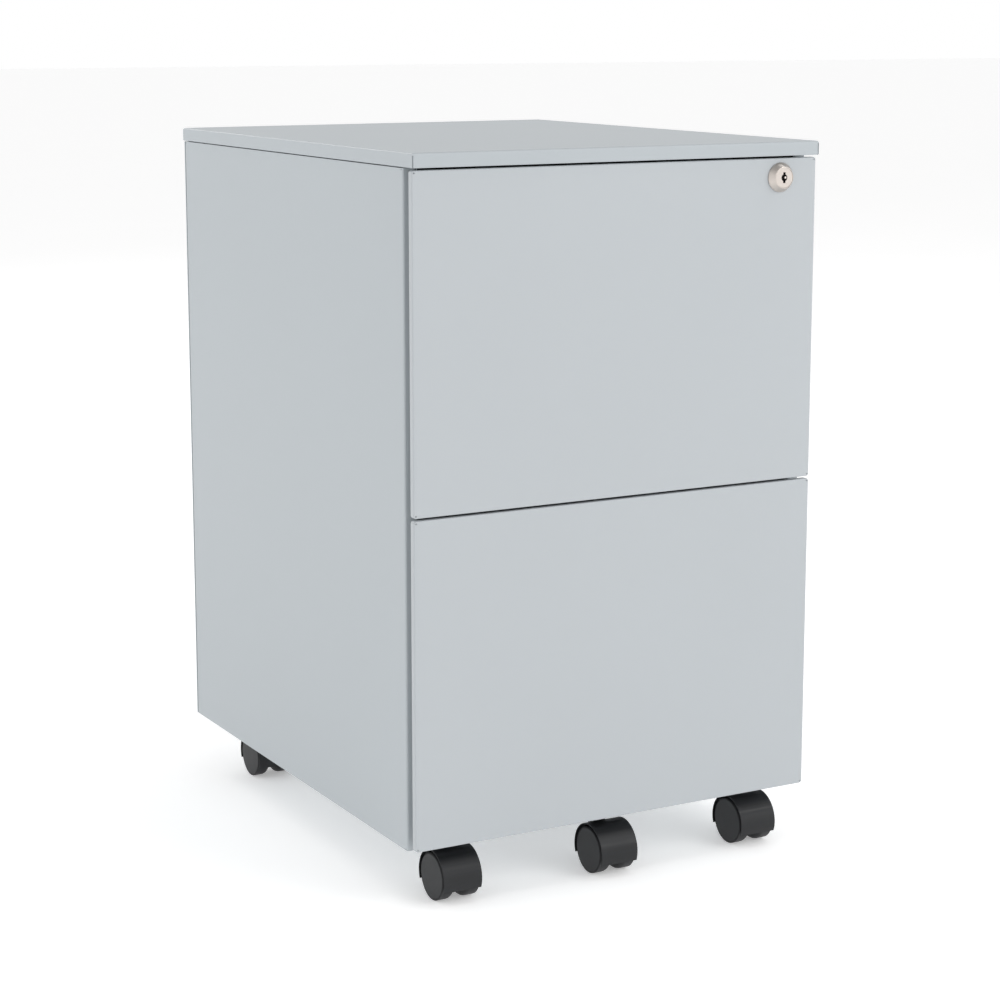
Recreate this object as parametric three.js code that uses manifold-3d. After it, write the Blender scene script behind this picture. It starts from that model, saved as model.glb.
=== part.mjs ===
// Two-drawer mobile filing pedestal with finger-pull drawer fronts, a cam lock and five hooded casters.
// Units are millimetres. X runs to the right, Y runs from the front to the back, Z runs up from the floor.
import * as THREE from 'three';
import { mergeVertices } from 'three/addons/utils/BufferGeometryUtils.js';
import Module from 'manifold-3d';

const wasm = await Module();
wasm.setup();

// ---------------------------------------------------------------- driving sizes
const overallWidth = 390;
const overallDepth = 484;
const overallHeight = 626;

const touchGap = 0.3;            // left between pieces that touch
const runningClearance = 0.1;    // radial, shaft in hole
const sheet = 1.2;               // folded steel

const topThickness = 12;
const topFrontFlange = 34;
const topSideFlange = 14;
const topSeam = 0.8;             // shadow line between the top and the sides

const carcassSideInset = 1;
const carcassFrontSetback = 18.6;
const carcassRearInset = 0.8;
const columnWidth = 12;
const columnDepth = 21.5;
const basePanThickness = 1.6;

const railAboveLock = 0.8;       // between the lock's shank and the rail's lip
const railDepth = 18;
const railRearLip = 6;

const frontSetback = 2.7;        // drawer front behind the top's front edge
const frontSideInset = 1;
const frontThickness = 6.3;
const frontCornerRadius = 3;
const frontRearFlange = 12;
const gapUnderTop = 1.9;
const gapBetweenFronts = 2;
const frontBelowCarcass = -3.2;  // lower edge of the lower front, measured down from the base
const linerSideInset = 11;
const linerEdgeInset = 4;
const linerToCarcass = 1;

const trayBottomInset = 6;       // above the front's lower edge
const traySideBelowFrontTop = 32.4;
const drawerBackDrop = 40;       // below the tray sides
const trayRearClearance = 25;

const slideWidth = 12.7;
const slideHeight = 45;
const slideAboveTray = 90;
const slideFrontSetback = 2;
const slideRearClearance = 12;
const innerMemberShorter = 20;
const slideMetal = 1.3;
const slideBallGap = 2;

const lockFromSide = 38;         // from the top's right edge
const lockBelowTop = 30.2;       // from the top's upper face
const lockBaseRadius = 12.6;
const lockFaceRadius = 9.1;
const lockProud = 6.4;
const lockShankRadius = 9.9;
const lockShankLength = 24;
const lockHoleClearance = 0.3;
const plugRadius = 8.6;
const plugRecess = 0.2;
const keySlotWidth = 1.8;
const keySlotHeight = 8.7;
const keyCoreRadius = 2.6;
const keyDepth = 4;
const camThickness = 2;
const camBehindRail = 3.8;       // how far the turned cam reaches up behind the rail
const camWidth = 11;

const wheelRadius = 20.25;
const wheelWidth = 13.6;
const wheelSpacing = 8.8;        // clear space between the two wheels
const wheelEdgeRound = 5;
const wheelFaceBevel = 1;
const hoodClearance = 1.35;
const hoodThickness = 1.9;
const hoodSkirtAboveFloor = 12;
const hoodWebThickness = 6.5;
const hoodWebAboveFloor = 14;
const axleRadius = 2;
const axleBossRadius = 4.2;
const axleEndInset = 7;          // behind the wheel's outer face
const stemRadius = 4;
const stemWall = 3.5;
const stemFloor = 1.6;
const stemBossProud = 2.75;
const casterTrail = 16;          // axle ahead of the stem
const plateGap = 0.7;
const plateSize = 38;
const plateThickness = 2.5;
const plateCorner = 4;

const casterSpanX = 298;
const frontAxleFromFront = 28;
const rearAxleFromBack = 68.7;
const middleAxleFromFront = 21.2;

const bracketWidth = 56;
const bracketMetal = 2;
const bracketRearMargin = 4;
const bracketClearance = 2;      // between the bracket and the base pan's notch

// ---------------------------------------------------------------- sizes that follow
const hoodInnerRadius = wheelRadius + hoodClearance;
const hoodRadius = hoodInnerRadius + hoodThickness;
const stemBossTop = wheelRadius + hoodRadius + stemBossProud;
const plateBottom = stemBossTop + plateGap;
const plateTop = plateBottom + plateThickness;
const baseHeight = plateTop + touchGap;
const casterHalfWidth = wheelSpacing / 2 + wheelWidth;

const topUnderside = overallHeight - topThickness;
const carcassTop = topUnderside - topSeam;
const carcassHalfWidth = overallWidth / 2 - carcassSideInset;
const carcassRear = overallDepth - carcassRearInset;
const columnInnerX = carcassHalfWidth - columnWidth;
const backPanelFront = carcassRear - sheet;
const sideRear = backPanelFront - touchGap;

const frontsTop = topUnderside - gapUnderTop;
const frontsBottom = baseHeight - frontBelowCarcass;
const frontHeight = (frontsTop - frontsBottom - gapBetweenFronts) / 2;
const frontHalfWidth = overallWidth / 2 - frontSideInset;
const frontRear = frontSetback + frontThickness;
const linerHalfWidth = overallWidth / 2 - linerSideInset;
const linerFront = frontRear + touchGap;
const linerRear = carcassFrontSetback - linerToCarcass;

const slideOuterX = columnInnerX - touchGap;
const slideInnerX = slideOuterX - slideWidth;
const slideFront = carcassFrontSetback + slideFrontSetback;
const slideRear = carcassRear - slideRearClearance;
const trayHalfWidth = slideInnerX - touchGap;
const trayFront = linerRear + touchGap;
const trayRear = carcassRear - trayRearClearance;
const traySideHeight = frontHeight - trayBottomInset - traySideBelowFrontTop;

const lockX = overallWidth / 2 - lockFromSide;
const lockZ = overallHeight - lockBelowTop;
const lockPanelHoleRadius = lockShankRadius + lockHoleClearance;
const railTop = topUnderside - touchGap;
const railLipHeight = railTop - (lockZ + lockShankRadius + railAboveLock);
const camReach = lockShankRadius + railAboveLock + camBehindRail;

// ---------------------------------------------------------------- materials
const paint = (color) => new THREE.MeshStandardMaterial({ color, roughness: 0.45, metalness: 0.1 });
const sidePaint = 0xc1c6c9;
const frontPaint = 0xc9ced2;
const material = {
  carcass: () => paint(sidePaint),
  front: () => paint(frontPaint),
  zinc: () => new THREE.MeshStandardMaterial({ color: 0xb4b7b8, roughness: 0.35, metalness: 0.9 }),
  nickel: () => new THREE.MeshStandardMaterial({ color: 0xcfc5bb, roughness: 0.3, metalness: 1 }),
  blackPlastic: () => new THREE.MeshStandardMaterial({ color: 0x1d1f21, roughness: 0.5, metalness: 0 }),
  wheelPlastic: () => new THREE.MeshStandardMaterial({ color: 0x3a3b3d, roughness: 0.6, metalness: 0 }),
};

// ---------------------------------------------------------------- helpers
const X = new THREE.Vector3(1, 0, 0);
const Y = new THREE.Vector3(0, 1, 0);
const Z = new THREE.Vector3(0, 0, 1);

function addMesh(parent, name, geometry, meshMaterial) {
  const mesh = new THREE.Mesh(geometry, meshMaterial);
  mesh.name = name;
  parent.add(mesh);
  return mesh;
}

function addGroup(parent, x, y, z) {
  const group = new THREE.Group();
  group.position.set(x, y, z);
  parent.add(group);
  return group;
}

function boxBetween(x0, x1, y0, y1, z0, z1) {
  const geometry = new THREE.BoxGeometry(x1 - x0, y1 - y0, z1 - z0);
  return geometry.translate((x0 + x1) / 2, (y0 + y1) / 2, (z0 + z1) / 2);
}

function shapeFrom(points) {
  return new THREE.Shape(points.map(([u, v]) => new THREE.Vector2(u, v)));
}

// Outline in X and Y, pulled up along Z.
function extrudeUp(shape, z0, z1) {
  const geometry = new THREE.ExtrudeGeometry(shape, { depth: z1 - z0, bevelEnabled: false, curveSegments: 4 });
  return geometry.translate(0, 0, z0);
}

// Outline in X and Z, pulled back along Y.
function extrudeBack(shape, y0, y1) {
  const geometry = new THREE.ExtrudeGeometry(shape, { depth: y1 - y0, bevelEnabled: false, curveSegments: 4 });
  geometry.applyMatrix4(new THREE.Matrix4().makeBasis(X, Z, Y.clone().negate()));
  return geometry.translate(0, y1, 0);
}

// Outline in Y and Z, pulled across along X.
function extrudeAcross(shape, x0, x1) {
  const geometry = new THREE.ExtrudeGeometry(shape, { depth: x1 - x0, bevelEnabled: false, curveSegments: 4 });
  geometry.applyMatrix4(new THREE.Matrix4().makeBasis(Y, Z, X));
  return geometry.translate(x0, 0, 0);
}

// Closed outline of folded sheet: the path is the outer face and the metal lies on its right.
function sheetOutline(path, thickness) {
  const count = path.length;
  const normals = [];
  for (let i = 0; i < count - 1; i += 1) {
    const du = path[i + 1][0] - path[i][0];
    const dv = path[i + 1][1] - path[i][1];
    const length = Math.hypot(du, dv);
    normals.push([dv / length, -du / length]);
  }
  const inner = path.map(([u, v], i) => {
    const before = normals[Math.max(i - 1, 0)];
    const after = normals[Math.min(i, count - 2)];
    const scale = thickness / (1 + before[0] * after[0] + before[1] * after[1]);
    return [u + (before[0] + after[0]) * scale, v + (before[1] + after[1]) * scale];
  });
  return shapeFrom([...path, ...inner.reverse()]);
}

function mirrorPath(path) {
  return path.map(([u, v]) => [-u, v]).reverse();
}

function roundedRectangle(u0, u1, v0, v1, radius) {
  const shape = new THREE.Shape();
  shape.moveTo(u0 + radius, v0);
  shape.lineTo(u1 - radius, v0);
  shape.absarc(u1 - radius, v0 + radius, radius, -Math.PI / 2, 0, false);
  shape.lineTo(u1, v1 - radius);
  shape.absarc(u1 - radius, v1 - radius, radius, 0, Math.PI / 2, false);
  shape.lineTo(u0 + radius, v1);
  shape.absarc(u0 + radius, v1 - radius, radius, Math.PI / 2, Math.PI, false);
  shape.lineTo(u0, v0 + radius);
  shape.absarc(u0 + radius, v0 + radius, radius, Math.PI, Math.PI * 1.5, false);
  return shape;
}

function toSolid(geometry) {
  const bare = geometry.clone();
  bare.deleteAttribute('normal');
  bare.deleteAttribute('uv');
  const merged = mergeVertices(bare, 1e-4);
  return new wasm.Manifold(new wasm.Mesh({
    numProp: 3,
    vertProperties: new Float32Array(merged.attributes.position.array),
    triVerts: new Uint32Array(merged.index.array),
  }));
}

function toGeometry(solid) {
  const mesh = solid.getMesh();
  const geometry = new THREE.BufferGeometry();
  geometry.setAttribute('position', new THREE.BufferAttribute(new Float32Array(mesh.vertProperties), 3));
  geometry.setIndex(new THREE.BufferAttribute(new Uint32Array(mesh.triVerts), 1));
  geometry.computeVertexNormals();
  return geometry;
}

function cylinderAcross(radius, x0, x1, y, z, segments) {
  const geometry = new THREE.CylinderGeometry(radius, radius, x1 - x0, segments);
  geometry.rotateZ(Math.PI / 2);
  return geometry.translate((x0 + x1) / 2, y, z);
}

function cylinderBack(radius, y0, y1, x, z, segments) {
  const geometry = new THREE.CylinderGeometry(radius, radius, y1 - y0, segments);
  return geometry.translate(x, (y0 + y1) / 2, z);
}

function cylinderUp(radius, z0, z1, x, y, segments) {
  const geometry = new THREE.CylinderGeometry(radius, radius, z1 - z0, segments);
  geometry.rotateX(Math.PI / 2);
  return geometry.translate(x, y, (z0 + z1) / 2);
}

// ---------------------------------------------------------------- carcass
function topPanelGeometry() {
  const half = overallWidth / 2;
  const outer = toSolid(boxBetween(-half, half, 0, overallDepth, topUnderside, overallHeight));
  const hollow = toSolid(boxBetween(
    -half + sheet, half - sheet,
    sheet, overallDepth - sheet,
    topUnderside + sheet, overallHeight - sheet,
  ));
  const window = toSolid(boxBetween(
    -half + topSideFlange, half - topSideFlange,
    topFrontFlange, overallDepth - topSideFlange,
    topUnderside - 1, topUnderside + sheet + 1,
  ));
  return toGeometry(outer.subtract(hollow).subtract(window));
}

const sidePath = [
  [columnInnerX, sideRear - columnDepth],
  [columnInnerX, sideRear],
  [carcassHalfWidth, sideRear],
  [carcassHalfWidth, carcassFrontSetback],
  [columnInnerX, carcassFrontSetback],
  [columnInnerX, carcassFrontSetback + columnDepth],
];

function sidePanelGeometry(isLeft) {
  const path = isLeft ? mirrorPath(sidePath) : sidePath;
  return extrudeUp(sheetOutline(path, sheet), baseHeight, carcassTop);
}

function basePanGeometry() {
  const wide = carcassHalfWidth - sheet - touchGap;
  const narrow = columnInnerX - touchGap;
  const frontStep = carcassFrontSetback + columnDepth + touchGap;
  const rearStep = sideRear - columnDepth - touchGap;
  const notch = bracketWidth / 2 + bracketClearance;
  const notchRear = middleAxleFromFront + casterTrail + plateSize / 2 + bracketRearMargin + bracketClearance;
  const right = [
    [notch, notchRear],
    [notch, carcassFrontSetback],
    [narrow, carcassFrontSetback],
    [narrow, frontStep],
    [wide, frontStep],
    [wide, rearStep],
    [narrow, rearStep],
    [narrow, sideRear],
  ];
  const left = right.map(([x, y]) => [-x, y]).reverse();
  return extrudeUp(shapeFrom([...right, ...left]), baseHeight, baseHeight + basePanThickness);
}

function frontTopRailGeometry() {
  const front = carcassFrontSetback;
  const path = [
    [front, railTop - railLipHeight],
    [front, railTop],
    [front + railDepth, railTop],
    [front + railDepth, railTop - railRearLip],
  ];
  const reach = columnInnerX - touchGap;
  return extrudeAcross(sheetOutline(path, sheet), -reach, reach);
}

function addCarcass(parent) {
  addMesh(parent, 'top_panel', topPanelGeometry(), material.carcass());
  addMesh(parent, 'left_side_panel', sidePanelGeometry(true), material.carcass());
  addMesh(parent, 'right_side_panel', sidePanelGeometry(false), material.carcass());
  addMesh(
    parent,
    'back_panel',
    boxBetween(-carcassHalfWidth, carcassHalfWidth, backPanelFront, carcassRear, baseHeight, carcassTop),
    material.carcass(),
  );
  addMesh(parent, 'base_pan', basePanGeometry(), material.carcass());
  addMesh(parent, 'front_top_rail', frontTopRailGeometry(), material.carcass());
}

// ---------------------------------------------------------------- drawer slides
// One channel of a slide, open towards the drawer or towards the side, centred on z.
function slideChannelGeometry(webX, openX, height, y0, y1, z) {
  const low = z - height / 2;
  const high = z + height / 2;
  const path = openX < webX
    ? [[openX, high], [webX, high], [webX, low], [openX, low]]
    : [[openX, low], [webX, low], [webX, high], [openX, high]];
  return extrudeBack(sheetOutline(path, slideMetal), y0, y1);
}

function addSlides(parent, drawerName, z) {
  const middleHeight = slideHeight - 2 * (slideMetal + slideBallGap);
  const innerHeight = middleHeight - 2 * (slideMetal + slideBallGap);
  const middleWebX = slideOuterX - slideMetal - slideBallGap;
  const middleOpenX = slideInnerX + slideMetal + slideBallGap;
  for (const [side, sign] of [['left', -1], ['right', 1]]) {
    const outerGeometry = slideChannelGeometry(
      sign * slideOuterX, sign * (slideInnerX + slideMetal + touchGap), slideHeight, slideFront, slideRear, z,
    );
    const middleGeometry = slideChannelGeometry(
      sign * middleWebX, sign * middleOpenX, middleHeight, slideFront, slideRear, z,
    );
    const innerGeometry = slideChannelGeometry(
      sign * slideInnerX, sign * (middleWebX - slideMetal - slideBallGap), innerHeight,
      slideFront, slideRear - innerMemberShorter, z,
    );
    addMesh(parent, `${drawerName}_slide_${side}_outer`, outerGeometry, material.zinc());
    addMesh(parent, `${drawerName}_slide_${side}_middle`, middleGeometry, material.zinc());
    addMesh(parent, `${drawerName}_slide_${side}_inner`, innerGeometry, material.zinc());
  }
}

// ---------------------------------------------------------------- drawers
function drawerFrontGeometry(bottom, hasLock) {
  const top = bottom + frontHeight;
  const outline = roundedRectangle(-frontHalfWidth, frontHalfWidth, bottom, top, frontCornerRadius);
  const outer = toSolid(extrudeBack(outline, frontSetback, frontRear));
  const hollow = toSolid(boxBetween(
    -frontHalfWidth + sheet, frontHalfWidth - sheet,
    frontSetback + sheet, frontRear - sheet,
    bottom + sheet, top - sheet,
  ));
  const window = toSolid(boxBetween(
    -frontHalfWidth + frontRearFlange, frontHalfWidth - frontRearFlange,
    frontRear - sheet - 1, frontRear + 1,
    bottom + frontRearFlange, top - frontRearFlange,
  ));
  let solid = outer.subtract(hollow).subtract(window);
  if (hasLock) {
    solid = solid.subtract(lockHole());
  }
  return toGeometry(solid);
}

function drawerLinerGeometry(bottom, hasLock) {
  const low = bottom + linerEdgeInset;
  const high = bottom + frontHeight - linerEdgeInset;
  const outer = toSolid(boxBetween(-linerHalfWidth, linerHalfWidth, linerFront, linerRear, low, high));
  const hollow = toSolid(boxBetween(
    -linerHalfWidth + sheet, linerHalfWidth - sheet,
    linerFront - 1, linerRear - sheet,
    low + sheet, high - sheet,
  ));
  let solid = outer.subtract(hollow);
  if (hasLock) {
    solid = solid.subtract(lockHole());
  }
  return toGeometry(solid);
}

function lockHole() {
  return toSolid(cylinderBack(lockPanelHoleRadius, -lockProud, carcassFrontSetback, lockX, lockZ, 28));
}

function trayGeometry(bottom) {
  const path = [
    [-trayHalfWidth, bottom + traySideHeight],
    [-trayHalfWidth, bottom],
    [trayHalfWidth, bottom],
    [trayHalfWidth, bottom + traySideHeight],
  ];
  return extrudeBack(sheetOutline(path.reverse(), sheet), trayFront, trayRear);
}

function drawerBackGeometry(bottom) {
  const reach = trayHalfWidth - sheet - touchGap;
  const low = bottom + sheet + touchGap;
  return boxBetween(-reach, reach, trayRear - sheet, trayRear, low, bottom + traySideHeight - drawerBackDrop);
}

function addDrawer(parent, name, bottom, hasLock) {
  const trayBottom = bottom + trayBottomInset;
  addMesh(parent, `${name}_front`, drawerFrontGeometry(bottom, hasLock), material.front());
  addMesh(parent, `${name}_liner`, drawerLinerGeometry(bottom, hasLock), material.carcass());
  addMesh(parent, `${name}_tray`, trayGeometry(trayBottom), material.carcass());
  addMesh(parent, `${name}_back`, drawerBackGeometry(trayBottom), material.carcass());
  addSlides(parent, name, trayBottom + slideAboveTray);
}

// ---------------------------------------------------------------- lock
// A turned profile of (radius, distance out of the drawer front), with its axis along Y.
function turnedFromFront(profile, segments) {
  const points = profile.map(([radius, out]) => new THREE.Vector2(radius, out));
  const geometry = new THREE.LatheGeometry(points, segments);
  geometry.rotateX(Math.PI);
  return geometry;
}

function lockHousingGeometry() {
  const bore = plugRadius + runningClearance;
  return turnedFromFront([
    [bore, -lockShankLength],
    [lockShankRadius, -lockShankLength],
    [lockShankRadius, touchGap],
    [lockBaseRadius, touchGap],
    [lockBaseRadius, touchGap + 0.8],
    [lockFaceRadius + 0.3, lockProud - 0.4],
    [lockFaceRadius, lockProud],
    [bore, lockProud],
    [bore, -lockShankLength],
  ], 28);
}

function lockPlugGeometry() {
  const face = plugRecess - lockProud;
  const barrel = toSolid(cylinderBack(plugRadius, face, lockShankLength + touchGap, 0, 0, 24));
  const slot = toSolid(boxBetween(
    -keySlotWidth / 2, keySlotWidth / 2,
    face - 1, face + keyDepth,
    -keySlotHeight / 2, keySlotHeight / 2,
  ));
  const core = toSolid(cylinderBack(keyCoreRadius, face - 1, face + keyDepth, 0, 0, 16));
  return toGeometry(barrel.subtract(slot.add(core)));
}

function lockCamGeometry() {
  const front = lockShankLength + 2 * touchGap;
  const hub = toSolid(cylinderBack(plugRadius, front, front + camThickness, 0, 0, 24));
  const arm = toSolid(boxBetween(-camReach, 0, front, front + camThickness, -camWidth / 2, camWidth / 2));
  return toGeometry(hub.add(arm));
}

function addLock(parent) {
  const lock = addGroup(parent, lockX, frontSetback, lockZ);
  addMesh(lock, 'lock_housing', lockHousingGeometry(), material.nickel());
  addMesh(lock, 'lock_plug', lockPlugGeometry(), material.nickel());
  addMesh(lock, 'lock_cam', lockCamGeometry(), material.zinc());
}

// ---------------------------------------------------------------- casters
// A caster's own frame has the stem's axis at x = y = 0 and the floor at z = 0.
function hoodGeometry() {
  const axleY = -casterTrail;
  const width = casterHalfWidth;
  const shell = toSolid(cylinderAcross(hoodRadius, -width, width, axleY, wheelRadius, 40));
  const wheelSpace = toSolid(cylinderAcross(hoodInnerRadius, -width - 1, width + 1, axleY, wheelRadius, 40));
  const high = stemBossTop + 10;
  const far = hoodRadius + 1;
  const aboveSkirt = toSolid(boxBetween(
    -width - 1, width + 1, axleY - far, axleY + far, hoodSkirtAboveFloor, high,
  ));
  const boss = toSolid(cylinderUp(stemRadius + stemWall, wheelRadius, stemBossTop, 0, 0, 24));
  const outside = shell.intersect(aboveSkirt).add(boss).subtract(wheelSpace);

  const webHalf = hoodWebThickness / 2;
  const webDisc = toSolid(cylinderAcross(hoodInnerRadius + 0.5, -webHalf, webHalf, axleY, wheelRadius, 40));
  const aboveWeb = toSolid(boxBetween(-width, width, axleY - far, axleY + far, hoodWebAboveFloor, high));
  const bossHalf = wheelSpacing / 2 - touchGap;
  const axleBoss = toSolid(cylinderAcross(axleBossRadius, -bossHalf, bossHalf, axleY, wheelRadius, 24));
  const web = webDisc.intersect(aboveWeb).add(axleBoss);

  const holeRadius = axleRadius + runningClearance;
  const axleHole = toSolid(cylinderAcross(holeRadius, -width, width, axleY, wheelRadius, 16));
  const stemHole = toSolid(cylinderUp(stemRadius + runningClearance, stemHoleBottom(), high, 0, 0, 20));
  return toGeometry(outside.add(web).subtract(axleHole).subtract(stemHole));
}

// The blind hole stops short of the wheel space at its nearest edge.
function stemHoleBottom() {
  const nearest = casterTrail - stemRadius - runningClearance;
  return wheelRadius + Math.sqrt(hoodInnerRadius ** 2 - nearest ** 2) + stemFloor;
}

function casterPlateGeometry() {
  const half = plateSize / 2;
  const outline = roundedRectangle(-half, half, -half, half, plateCorner);
  const plate = toSolid(extrudeUp(outline, plateBottom, plateTop));
  const stem = toSolid(cylinderUp(stemRadius, stemHoleBottom() + touchGap, plateBottom + 1, 0, 0, 20));
  return toGeometry(plate.add(stem));
}

// One wheel with its closed outer face towards +X or -X.
function wheelGeometry(direction) {
  const inner = wheelSpacing / 2;
  const outer = casterHalfWidth;
  const bore = axleRadius + runningClearance;
  const boreEnd = outer - axleEndInset + touchGap;
  const points = [
    new THREE.Vector2(0, boreEnd),
    new THREE.Vector2(bore, boreEnd),
    new THREE.Vector2(bore, inner),
  ];
  const steps = 3;
  for (let i = 0; i <= steps; i += 1) {
    const angle = (Math.PI / 2) * (i / steps);
    points.push(new THREE.Vector2(
      wheelRadius - wheelEdgeRound + wheelEdgeRound * Math.sin(angle),
      inner + wheelEdgeRound - wheelEdgeRound * Math.cos(angle),
    ));
  }
  points.push(new THREE.Vector2(wheelRadius, outer - wheelFaceBevel));
  points.push(new THREE.Vector2(wheelRadius - wheelFaceBevel, outer));
  points.push(new THREE.Vector2(0, outer));
  const geometry = new THREE.LatheGeometry(points, 28);
  geometry.rotateZ(-Math.PI / 2);
  if (direction < 0) {
    geometry.rotateZ(Math.PI);
  }
  return geometry.translate(0, -casterTrail, wheelRadius);
}

function axleGeometry() {
  const reach = casterHalfWidth - axleEndInset;
  return cylinderAcross(axleRadius, -reach, reach, -casterTrail, wheelRadius, 16);
}

function addCaster(parent, name, x, axleFromFront) {
  const caster = addGroup(parent, x, axleFromFront + casterTrail, 0);
  addMesh(caster, `${name}_plate`, casterPlateGeometry(), material.zinc());
  addMesh(caster, `${name}_hood`, hoodGeometry(), material.blackPlastic());
  addMesh(caster, `${name}_axle`, axleGeometry(), material.zinc());
  addMesh(caster, `${name}_wheel_left`, wheelGeometry(-1), material.wheelPlastic());
  addMesh(caster, `${name}_wheel_right`, wheelGeometry(1), material.wheelPlastic());
}

function casterBracketGeometry(trayBottom) {
  const half = bracketWidth / 2;
  const top = trayBottom - touchGap;
  const path = [[half, top], [half, baseHeight], [-half, baseHeight], [-half, top]];
  const front = linerRear + 2 * touchGap;
  const rear = middleAxleFromFront + casterTrail + plateSize / 2 + bracketRearMargin;
  return extrudeBack(sheetOutline(path, bracketMetal), front, rear);
}

// ---------------------------------------------------------------- assembly
const lowerFrontBottom = frontsBottom;
const upperFrontBottom = frontsBottom + frontHeight + gapBetweenFronts;

// The lock stands in front of the top, so the object's middle lies a little further forward.
const foremost = Math.min(0, frontSetback - lockProud, middleAxleFromFront - hoodRadius);
const group = new THREE.Group();
const cabinet = addGroup(group, 0, -(overallDepth + foremost) / 2, 0);

addCarcass(cabinet);
addDrawer(cabinet, 'upper_drawer', upperFrontBottom, true);
addDrawer(cabinet, 'lower_drawer', lowerFrontBottom, false);
addLock(cabinet);
addMesh(
  cabinet,
  'anti_tilt_bracket',
  casterBracketGeometry(lowerFrontBottom + trayBottomInset),
  material.carcass(),
);

const rearAxle = overallDepth - rearAxleFromBack;
addCaster(cabinet, 'caster_front_left', -casterSpanX / 2, frontAxleFromFront);
addCaster(cabinet, 'caster_front_right', casterSpanX / 2, frontAxleFromFront);
addCaster(cabinet, 'caster_rear_left', -casterSpanX / 2, rearAxle);
addCaster(cabinet, 'caster_rear_right', casterSpanX / 2, rearAxle);
addCaster(cabinet, 'caster_anti_tilt', 0, middleAxleFromFront);

export default group;
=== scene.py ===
"""Looks for the two-drawer mobile filing pedestal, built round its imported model."""

import math

import bmesh
import bpy
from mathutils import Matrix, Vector
from mathutils.bvhtree import BVHTree


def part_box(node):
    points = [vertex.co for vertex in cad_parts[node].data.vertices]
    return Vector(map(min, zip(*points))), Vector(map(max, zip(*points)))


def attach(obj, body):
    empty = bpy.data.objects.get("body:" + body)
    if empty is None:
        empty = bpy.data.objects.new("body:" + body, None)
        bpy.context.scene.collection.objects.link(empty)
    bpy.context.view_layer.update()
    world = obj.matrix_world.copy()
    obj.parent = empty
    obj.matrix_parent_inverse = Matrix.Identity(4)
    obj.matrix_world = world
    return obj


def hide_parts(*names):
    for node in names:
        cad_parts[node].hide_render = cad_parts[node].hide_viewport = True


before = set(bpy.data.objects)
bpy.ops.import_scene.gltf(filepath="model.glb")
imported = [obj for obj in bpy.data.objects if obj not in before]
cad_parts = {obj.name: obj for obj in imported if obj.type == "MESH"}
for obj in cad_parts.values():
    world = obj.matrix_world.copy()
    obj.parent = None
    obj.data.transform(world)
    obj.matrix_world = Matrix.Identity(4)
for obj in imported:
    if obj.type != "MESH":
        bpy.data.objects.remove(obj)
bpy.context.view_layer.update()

MM = 0.001


# ---------------------------------------------------------------- finishes
class Wire:
    """One output of a shader node, so that node maths reads as Python."""

    def __init__(self, finish, socket):
        self.finish = finish
        self.socket = socket

    def maths(self, operation, *values):
        return self.finish.node("ShaderNodeMath", {"operation": operation}, dict(enumerate(values)))

    def __add__(self, other):
        return self.maths("ADD", self, other)

    def __radd__(self, other):
        return self.maths("ADD", other, self)

    def __sub__(self, other):
        return self.maths("SUBTRACT", self, other)

    def __rsub__(self, other):
        return self.maths("SUBTRACT", other, self)

    def __mul__(self, other):
        return self.maths("MULTIPLY", self, other)

    def __rmul__(self, other):
        return self.maths("MULTIPLY", other, self)

    def __pow__(self, other):
        return self.maths("POWER", self, other)

    def smooth_step(self, low, high):
        settings = {"interpolation_type": "SMOOTHSTEP"}
        inputs = {"Value": self, "From Min": low, "From Max": high}
        return self.finish.node("ShaderNodeMapRange", settings, inputs)


class NodeWork:
    """A node tree, with one method that adds nodes to it."""

    def __init__(self, owner):
        owner.use_nodes = True
        self.tree = owner.node_tree

    def put(self, node, inputs):
        for key, value in inputs.items():
            socket = node.inputs[key]
            if isinstance(value, Wire):
                self.tree.links.new(value.socket, socket)
            elif socket.type == "RGBA" and len(value) == 3:
                socket.default_value = (*value, 1.0)
            else:
                socket.default_value = value

    def node(self, kind, settings=None, inputs=None, output=0):
        made = self.tree.nodes.new(kind)
        for key, value in (settings or {}).items():
            setattr(made, key, value)
        self.put(made, inputs or {})
        return Wire(self, made.outputs[output])

    def split(self, place):
        first = self.node("ShaderNodeSeparateXYZ", None, {0: place})
        return [Wire(self, socket) for socket in first.socket.node.outputs]

    def blend(self, first, second, share):
        inputs = {0: share, 6: first, 7: second}
        return self.node("ShaderNodeMix", {"data_type": "RGBA"}, inputs, output=2)


class Finish(NodeWork):
    """A material made of nodes."""

    def __init__(self, name, constants=None):
        self.material = bpy.data.materials.new(name)
        super().__init__(self.material)
        self.shader = self.tree.nodes["Principled BSDF"]
        self.put(self.shader, constants or {})

    def place(self):
        return self.node("ShaderNodeTexCoord", output="Object")

    def stretched(self, place, x, y, z):
        return self.node("ShaderNodeVectorMath", {"operation": "MULTIPLY"}, {0: place, 1: (x, y, z)})

    def noise(self, place, scale, detail):
        return self.node("ShaderNodeTexNoise", None, {"Vector": place, "Scale": scale, "Detail": detail})

    def tint(self, colour, strength):
        inputs = {0: colour, "Scale": strength}
        return self.node("ShaderNodeVectorMath", {"operation": "SCALE"}, inputs)

    def bump(self, height, distance, strength):
        inputs = {"Height": height, "Distance": distance, "Strength": strength}
        return self.node("ShaderNodeBump", None, inputs)

    def use(self, **inputs):
        self.put(self.shader, {key.replace("_", " ").title(): value for key, value in inputs.items()})
        return self


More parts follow.
